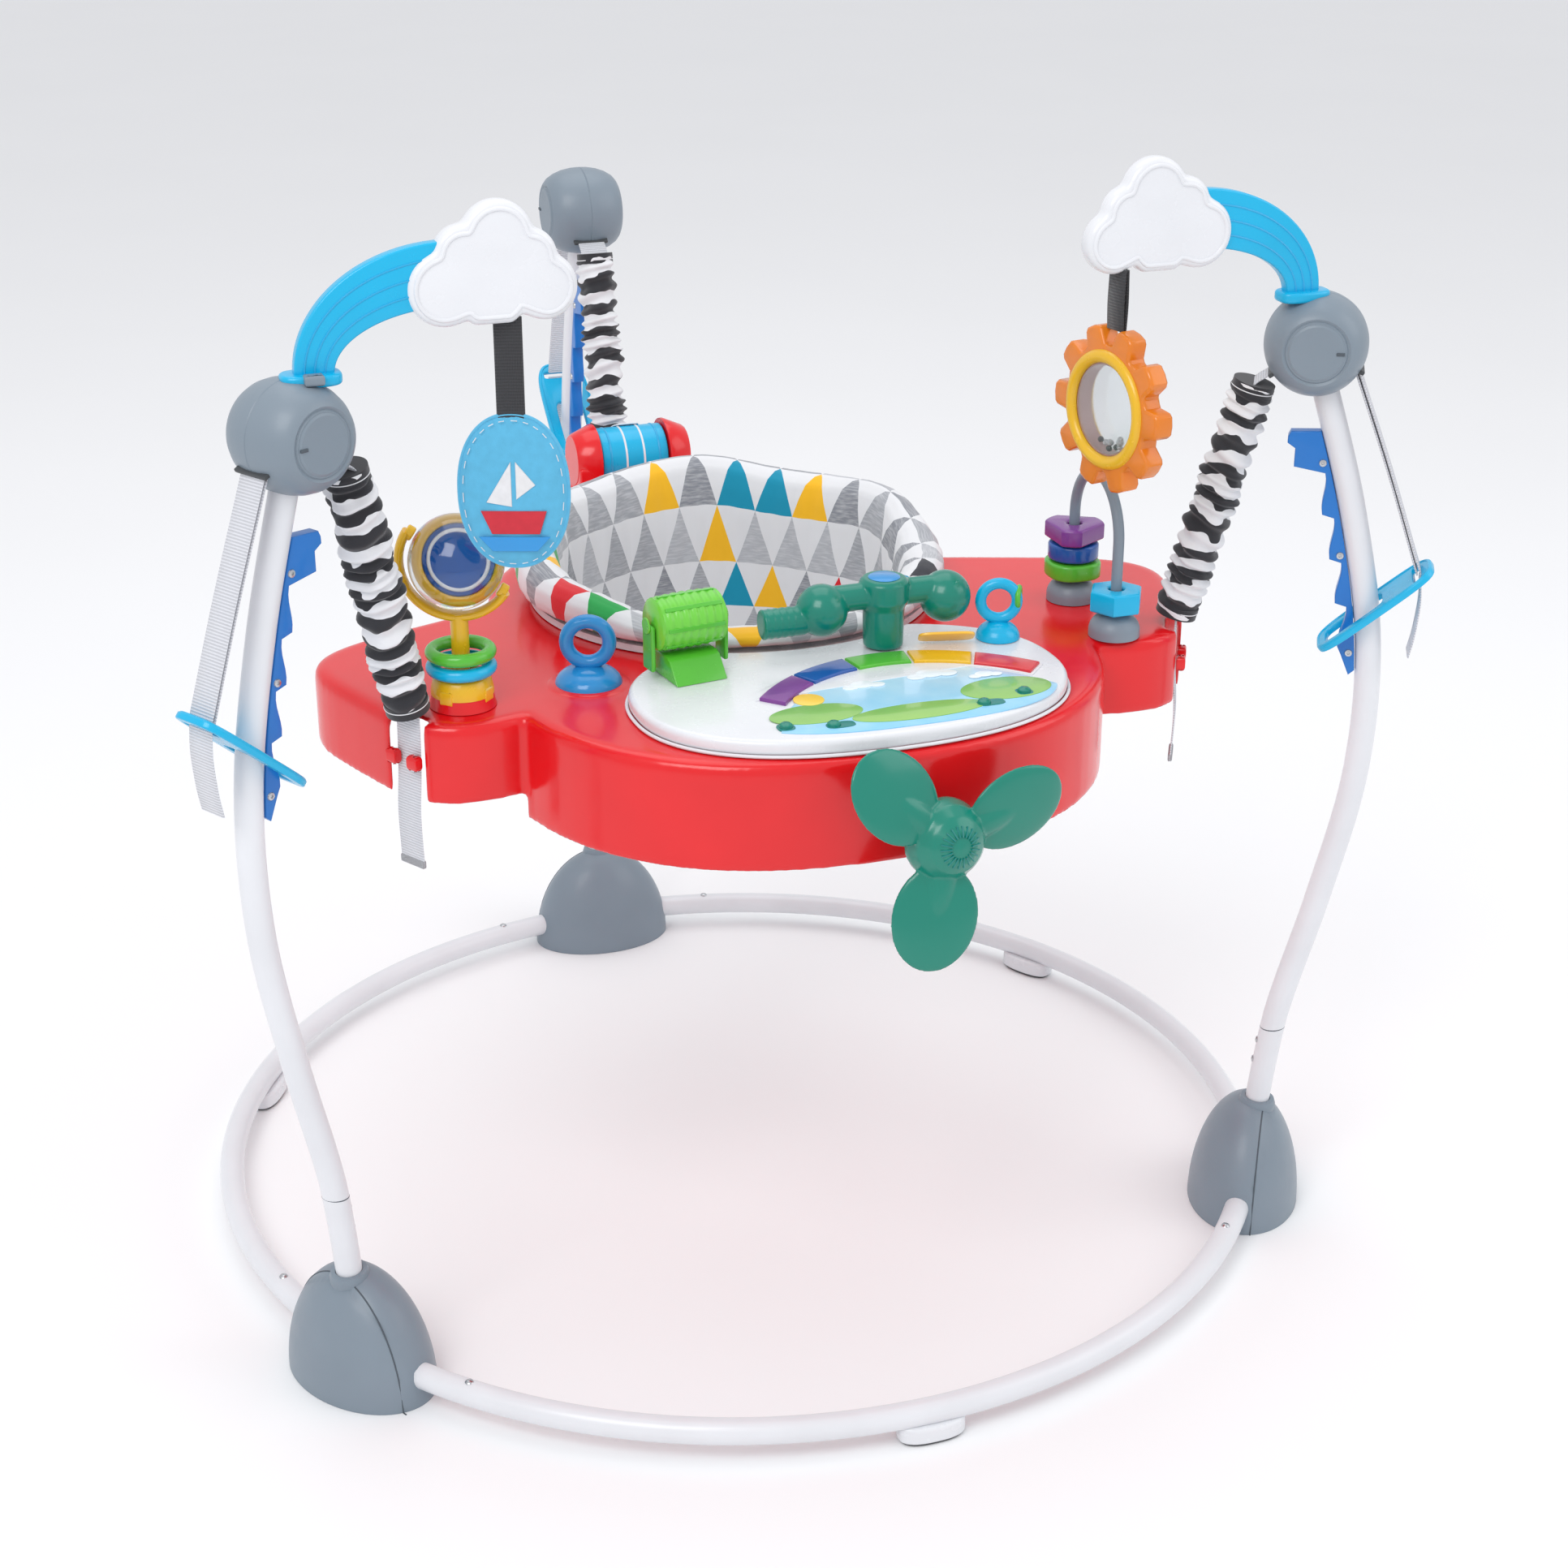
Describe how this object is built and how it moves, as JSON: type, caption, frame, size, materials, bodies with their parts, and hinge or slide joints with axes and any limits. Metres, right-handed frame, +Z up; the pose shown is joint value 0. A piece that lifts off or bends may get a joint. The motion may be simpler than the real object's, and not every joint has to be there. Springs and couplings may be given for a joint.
{
  "type": "activity jumper",
  "caption": "Baby activity jumper: curved tube legs on a floor ring hold a toy tray on sprung straps, with a turning fabric seat, play console and hanging toys.",
  "frame": {"origin": "on the floor, under the middle of the jumper's bounding box", "axes": "+Z up; -Y towards the front of the tray, where the propeller is; +Y towards the single rear leg; +X towards the right of a viewer at the front"},
  "size_m": [0.9364, 0.9734, 0.8678],
  "materials": {
    "blue_plastic": "translucent blue moulding",
    "clear_plastic": "clear sphere over a blue and yellow inner disc",
    "cyan_plastic": "bright cyan moulding",
    "green_plastic": "bright green moulding",
    "grey_plastic": "satin grey moulding",
    "orange_plastic": "translucent orange moulding",
    "purple_plastic": "translucent purple moulding",
    "rack_blue": "blue moulding",
    "red_plastic": "glossy red moulding",
    "seat_fabric": "printed woven seat with a triangle pattern",
    "seat_ring_plastic": "pale ring under the fabric",
    "spring_steel": "coil spring wire",
    "teal_plastic": "glossy teal moulding",
    "toy_fabric": "printed satin pad and black woven strap",
    "white_paint": "smooth white paint",
    "white_plastic": "smooth white moulding",
    "yellow_plastic": "translucent yellow moulding",
    "zebra_fabric": "gathered black and white striped sleeve"
  },
  "bodies": {
    "frame": {"base_tube_front": "white_paint", "base_tube_right": "white_paint", "base_tube_left": "white_paint", "foot_left": "grey_plastic", "leg_left": "white_paint", "hub_left": "grey_plastic", "height_rack_left": "rack_blue", "spring_sleeve_left": "zebra_fabric", "bounce_spring_left": "spring_steel", "foot_right": "grey_plastic", "leg_right": "white_paint", "hub_right": "grey_plastic", "height_rack_right": "rack_blue", "spring_sleeve_right": "zebra_fabric", "bounce_spring_right": "spring_steel", "foot_rear": "grey_plastic", "leg_rear": "white_paint", "hub_rear": "grey_plastic", "height_rack_rear": "rack_blue", "spring_sleeve_rear": "zebra_fabric", "bounce_spring_rear": "spring_steel", "toy_arm_left": "cyan_plastic", "toy_arm_right": "cyan_plastic", "cloud_left": "white_plastic", "cloud_right": "white_plastic"},
    "adjuster_left": {"adjuster_loop_left": "cyan_plastic"},
    "adjuster_right": {"adjuster_loop_right": "cyan_plastic"},
    "adjuster_rear": {"adjuster_loop_rear": "cyan_plastic"},
    "tray": {"tray_shell": "red_plastic", "console_housing": "white_plastic", "spinner_stand": "yellow_plastic", "barrel_stand": "green_plastic", "bead_arch": "grey_plastic", "drum_housing": "red_plastic"},
    "seat": {"seat_ring": "seat_ring_plastic", "seat_fabric": "seat_fabric"},
    "propeller": {"propeller": "teal_plastic"},
    "barrel_roller": {"barrel_roller": "green_plastic"},
    "roller_drum": {"roller_drum": "cyan_plastic"},
    "spinner_ball": {"spinner_ball": "clear_plastic"},
    "drop_loop": {"drop_loop": "blue_plastic"},
    "rattle_loop": {"rattle_loop": "cyan_plastic"},
    "steering_yoke": {"steering_yoke": "teal_plastic"},
    "stacking_ring_cyan": {"stacking_ring_cyan": "cyan_plastic"},
    "stacking_ring_green": {"stacking_ring_green": "green_plastic"},
    "bead_green": {"bead_green": "green_plastic"},
    "bead_blue": {"bead_blue": "blue_plastic"},
    "bead_purple": {"bead_purple": "purple_plastic"},
    "bead_cyan": {"bead_cyan": "cyan_plastic"},
    "hanging_fabric_toy": {"hanging_fabric_toy": "toy_fabric"},
    "hanging_sun_rattle": {"hanging_sun_rattle": "orange_plastic"},
    "light_key_purple": {"light_key_purple": "purple_plastic"},
    "light_key_blue": {"light_key_blue": "blue_plastic"},
    "light_key_green": {"light_key_green": "green_plastic"},
    "light_key_yellow": {"light_key_yellow": "yellow_plastic"},
    "light_key_red": {"light_key_red": "red_plastic"},
    "console_button_left": {"console_button_left": "teal_plastic"},
    "console_button_right": {"console_button_right": "teal_plastic"},
    "console_slider_left": {"console_slider_left": "teal_plastic"},
    "console_slider_right": {"console_slider_right": "teal_plastic"}
  },
  "joints": [
    {"name": "adjuster_left_slide", "type": "slide", "parent": "frame", "child": "adjuster_left", "axis": [0.1424, 0.0822, 0.9864], "range_m": [-0.02, 0.03]},
    {"name": "adjuster_right_slide", "type": "slide", "parent": "frame", "child": "adjuster_right", "axis": [-0.1424, 0.0822, 0.9864], "range_m": [-0.02, 0.03]},
    {"name": "adjuster_rear_slide", "type": "slide", "parent": "frame", "child": "adjuster_rear", "axis": [0, -0.1644, 0.9864], "range_m": [-0.02, 0.03]},
    {"name": "tray_bounce", "type": "slide", "parent": "frame", "child": "tray", "axis": [0, 0, 1], "range_m": [-0.1, 0.01], "stiffness_N_per_m": 1200, "springref_m": 0.03105, "deforming": ["bounce_spring_left", "spring_sleeve_left", "bounce_spring_right", "spring_sleeve_right", "bounce_spring_rear", "spring_sleeve_rear"]},
    {"name": "seat_swivel", "type": "hinge", "parent": "tray", "child": "seat", "pos_m": [0, -0.0319, 0.502], "axis": [0, 0, 1], "continuous": true},
    {"name": "propeller_spin", "type": "hinge", "parent": "tray", "child": "propeller", "pos_m": [0.022, -0.4269, 0.449], "axis": [0.0863, -0.9865, 0.1392], "continuous": true},
    {"name": "barrel_roll", "type": "hinge", "parent": "tray", "child": "barrel_roller", "pos_m": [-0.099, -0.2249, 0.5543], "axis": [0.9903, 0.1392, 0], "continuous": true},
    {"name": "drum_roll", "type": "hinge", "parent": "tray", "child": "roller_drum", "pos_m": [0, 0.2511, 0.5344], "axis": [1, 0, 0], "continuous": true},
    {"name": "spinner_spin", "type": "hinge", "parent": "tray", "child": "spinner_ball", "pos_m": [-0.258, -0.2029, 0.608], "axis": [0.7839, -0.2699, -0.5592], "continuous": true},
    {"name": "drop_loop_turn", "type": "hinge", "parent": "tray", "child": "drop_loop", "pos_m": [-0.163, -0.1939, 0.502], "axis": [0, 0, 1], "continuous": true},
    {"name": "rattle_loop_turn", "type": "hinge", "parent": "tray", "child": "rattle_loop", "pos_m": [0.1415, -0.2339, 0.5144], "axis": [0, 0, 1], "continuous": true},
    {"name": "steering_yoke_turn", "type": "hinge", "parent": "tray", "child": "steering_yoke", "pos_m": [0.054, -0.2229, 0.5144], "axis": [0, 0, 1], "range_deg": [-5, 30]},
    {"name": "stacking_ring_cyan_lift", "type": "slide", "parent": "tray", "child": "stacking_ring_cyan", "axis": [0, 0, 1], "range_m": [0, 0.006]},
    {"name": "stacking_ring_green_lift", "type": "slide", "parent": "stacking_ring_cyan", "child": "stacking_ring_green", "axis": [0, 0, 1], "range_m": [0, 0.004]},
    {"name": "bead_green_spin", "type": "hinge", "parent": "tray", "child": "bead_green", "pos_m": [0.246, -0.1419, 0.532], "axis": [0, 0, 1], "continuous": true},
    {"name": "bead_blue_spin", "type": "hinge", "parent": "tray", "child": "bead_blue", "pos_m": [0.246, -0.1419, 0.532], "axis": [0, 0, 1], "continuous": true},
    {"name": "bead_cyan_spin", "type": "hinge", "parent": "tray", "child": "bead_cyan", "pos_m": [0.241, -0.2279, 0.532], "axis": [0, 0, 1], "continuous": true},
    {"name": "bead_purple_lift", "type": "slide", "parent": "tray", "child": "bead_purple", "axis": [0, 0, 1], "range_m": [0, 0.008]},
    {"name": "light_key_purple_press", "type": "slide", "parent": "tray", "child": "light_key_purple", "axis": [0, 0, -1], "range_m": [0, 0.003], "stiffness_N_per_m": 300, "springref_m": -0.001},
    {"name": "light_key_blue_press", "type": "slide", "parent": "tray", "child": "light_key_blue", "axis": [0, 0, -1], "range_m": [0, 0.003], "stiffness_N_per_m": 300, "springref_m": -0.001},
    {"name": "light_key_green_press", "type": "slide", "parent": "tray", "child": "light_key_green", "axis": [0, 0, -1], "range_m": [0, 0.003], "stiffness_N_per_m": 300, "springref_m": -0.001},
    {"name": "light_key_yellow_press", "type": "slide", "parent": "tray", "child": "light_key_yellow", "axis": [0, 0, -1], "range_m": [0, 0.003], "stiffness_N_per_m": 300, "springref_m": -0.001},
    {"name": "light_key_red_press", "type": "slide", "parent": "tray", "child": "light_key_red", "axis": [0, 0, -1], "range_m": [0, 0.003], "stiffness_N_per_m": 300, "springref_m": -0.001},
    {"name": "console_button_left_press", "type": "slide", "parent": "tray", "child": "console_button_left", "axis": [0, 0, -1], "range_m": [0, 0.003], "stiffness_N_per_m": 300, "springref_m": -0.001},
    {"name": "console_slider_left_move", "type": "slide", "parent": "tray", "child": "console_slider_left", "axis": [1, 0, 0], "range_m": [0, 0.01]},
    {"name": "console_button_right_press", "type": "slide", "parent": "tray", "child": "console_button_right", "axis": [0, 0, -1], "range_m": [0, 0.003], "stiffness_N_per_m": 300, "springref_m": -0.001},
    {"name": "console_slider_right_move", "type": "slide", "parent": "tray", "child": "console_slider_right", "axis": [1, 0, 0], "range_m": [0, 0.01]},
    {"name": "fabric_toy_swing", "type": "hinge", "parent": "frame", "child": "hanging_fabric_toy", "pos_m": [-0.22964, -0.2632, 0.7874], "axis": [0.9397, -0.342, 0], "range_deg": [-8, 8]},
    {"name": "sun_rattle_swing", "type": "hinge", "parent": "frame", "child": "hanging_sun_rattle", "pos_m": [0.21164, -0.2632, 0.7874], "axis": [-0.1908, 0.9816, 0], "range_deg": [-15, 15]}
  ]
}
